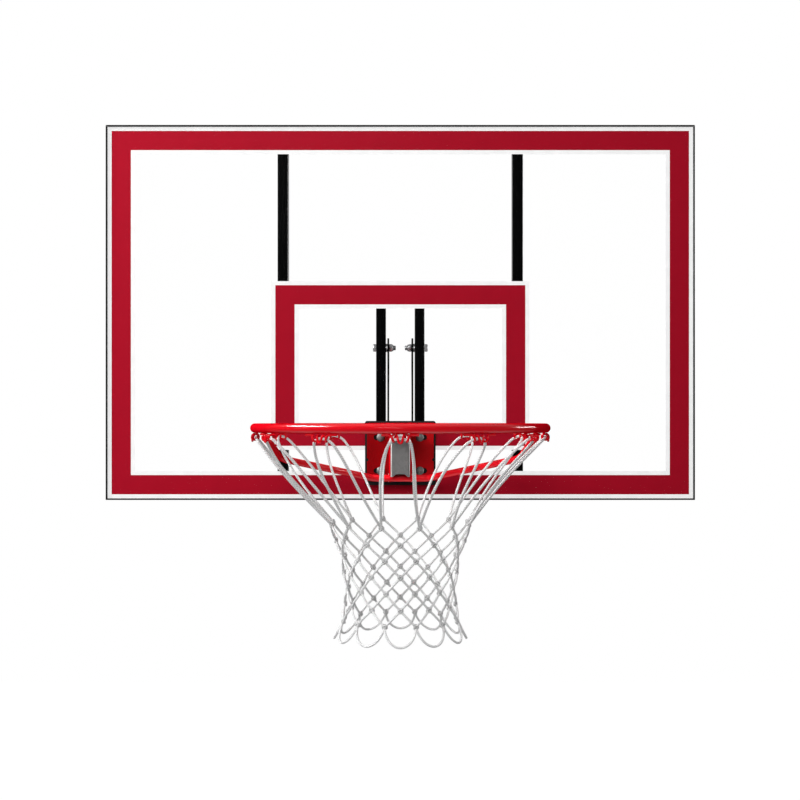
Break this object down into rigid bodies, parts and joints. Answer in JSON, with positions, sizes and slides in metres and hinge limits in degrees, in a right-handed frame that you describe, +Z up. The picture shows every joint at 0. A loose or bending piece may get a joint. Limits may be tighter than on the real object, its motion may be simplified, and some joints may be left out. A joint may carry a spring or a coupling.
{
  "type": "basketball backboard",
  "caption": "Clear framed basketball backboard with printed border and target square, a spring-loaded breakaway rim on a hinge and a knotted net, bored side plates behind for lifting arms.",
  "frame": {"origin": "centre of the upper arm bore, midway between the two side plates behind the board", "axes": "+X to the right as a player sees the board, +Y from the player towards the back, +Z up"},
  "size_m": [1.1176, 0.7138, 0.9167],
  "materials": {
    "clear_panel": "clear polished sheet",
    "red_print": "screen-printed ink seen through the panel",
    "white_print": "screen-printed ink seen through the panel",
    "panel_tape": "black foam tape",
    "black_powder_coat": "satin black powder coat",
    "red_powder_coat": "glossy red powder coat",
    "zinc_plate": "zinc plate",
    "gasket_rubber": "black moulded rubber",
    "white_nylon": "natural nylon",
    "spring_steel": "oiled spring steel",
    "net_cord": "white braided cord"
  },
  "bodies": {
    "board": {"clear_panel": "clear_panel", "border_band": "red_print", "target_band": "red_print", "border_pinstripes": "white_print", "target_pinstripes": "white_print", "panel_tape": "panel_tape", "rim_gasket": "gasket_rubber", "breakaway_spring": "spring_steel", "bottom_rail": "black_powder_coat", "left_rail": "black_powder_coat", "top_rail": "black_powder_coat", "right_rail": "black_powder_coat", "cross_rail": "black_powder_coat", "left_outer_upright": "black_powder_coat", "right_outer_upright": "black_powder_coat", "left_inner_upright": "black_powder_coat", "right_inner_upright": "black_powder_coat", "left_mount_plate": "black_powder_coat", "right_mount_plate": "black_powder_coat", "mount_bolts": "zinc_plate", "mount_spacers": "zinc_plate", "mount_lock_nuts": "zinc_plate", "rim_bolts": "zinc_plate", "rim_washers": "zinc_plate", "rim_lock_nuts": "zinc_plate", "hinge_pin": "zinc_plate", "hinge_clip": "zinc_plate", "spring_bolt": "zinc_plate", "spring_washer": "zinc_plate", "spring_nut": "zinc_plate", "rim_base_plate": "red_powder_coat"},
    "rim": {"ring": "red_powder_coat", "neck": "red_powder_coat", "brace": "red_powder_coat", "hinge_bracket": "red_powder_coat", "spring_cover": "zinc_plate", "cover_screws": "zinc_plate", "hinge_washers": "white_nylon", "net_hooks": "red_powder_coat", "net": "net_cord"}
  },
  "joints": [
    {"name": "rim_breakaway", "type": "hinge", "parent": "board", "child": "rim", "pos_m": [0, -0.092, -0.214], "axis": [1, 0, 0], "range_deg": [0, 25], "stiffness_Nm_per_rad": 115, "springref_deg": -25.21, "deforming": ["breakaway_spring"]}
  ]
}
